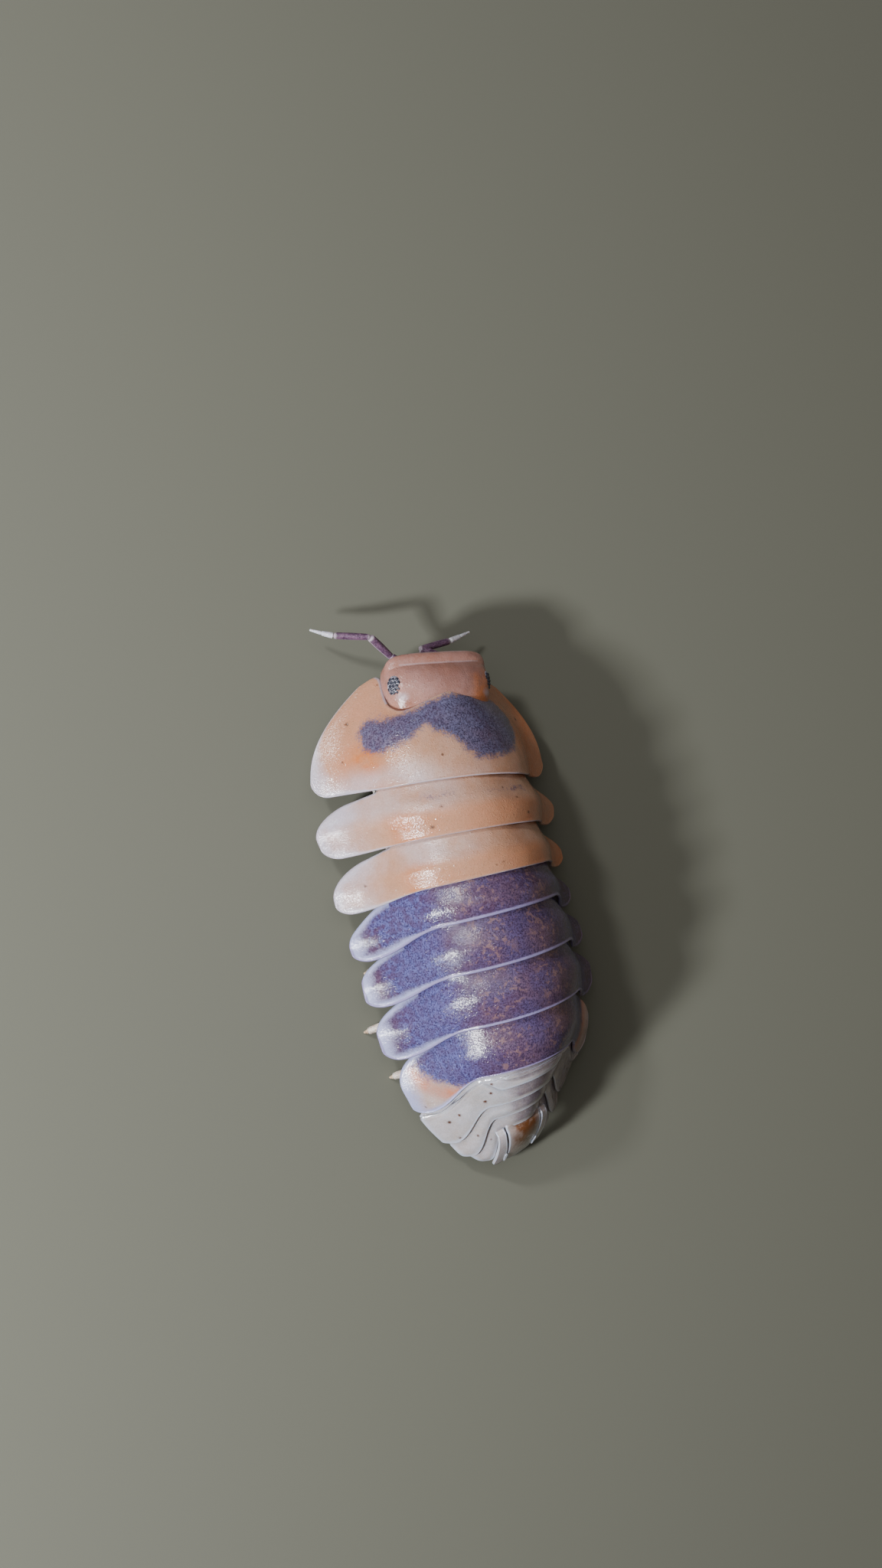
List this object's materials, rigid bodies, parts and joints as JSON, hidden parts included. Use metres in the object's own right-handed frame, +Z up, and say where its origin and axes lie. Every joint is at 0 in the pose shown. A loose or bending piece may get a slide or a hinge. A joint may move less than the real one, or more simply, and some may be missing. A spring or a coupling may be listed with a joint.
{
  "type": "woodlouse",
  "caption": "Life-size pill woodlouse in a walking stance: a vaulted shell of overlapping plates over short jointed legs, with eyes and feelers.",
  "frame": {"origin": "bottom centre of the bounding box, on the floor under the body", "axes": "+Z up, head towards -Y, tail towards +Y, the animal's left towards +X"},
  "size_m": [0.007, 0.015, 0.0038],
  "materials": {
    "shell_peach": "satin, waxy, with translucent pale margins",
    "shell_purple": "satin, finely granular, with a blue sheen and pale rims",
    "shell_cream": "satin, translucent, with fine brown flecks",
    "head_shell": "satin, finely speckled",
    "eye": "gloss, faceted",
    "feeler": "matt with pale joints",
    "limb": "matt, translucent",
    "gill_flap": "matt, thin, pale"
  },
  "bodies": {
    "root": {"pereonite_1": "shell_peach", "pereonite_2": "shell_peach", "pereonite_3": "shell_peach", "pereonite_4": "shell_purple", "pereonite_5": "shell_purple", "pereonite_6": "shell_purple", "pereonite_7": "shell_purple", "pleonite_1": "shell_cream", "pleonite_2": "shell_cream", "pleonite_3": "shell_cream", "pleonite_4": "shell_cream", "pleonite_5": "shell_cream", "telson": "shell_cream", "uropod_left": "shell_cream", "uropod_right": "shell_cream", "head": "head_shell", "mouthparts": "limb", "eye_left": "eye", "eye_right": "eye", "antenna_left": "feeler", "antenna_right": "feeler", "leg_left_1": "limb", "leg_left_2": "limb", "leg_left_3": "limb", "leg_left_4": "limb", "leg_left_5": "limb", "leg_left_6": "limb", "leg_left_7": "limb", "leg_right_1": "limb", "leg_right_2": "limb", "leg_right_3": "limb", "leg_right_4": "limb", "leg_right_5": "limb", "leg_right_6": "limb", "leg_right_7": "limb", "pleopod_left_1": "gill_flap", "pleopod_left_2": "gill_flap", "pleopod_left_3": "gill_flap", "pleopod_left_4": "gill_flap", "pleopod_left_5": "gill_flap", "pleopod_right_1": "gill_flap", "pleopod_right_2": "gill_flap", "pleopod_right_3": "gill_flap", "pleopod_right_4": "gill_flap", "pleopod_right_5": "gill_flap"}
  },
  "joints": []
}
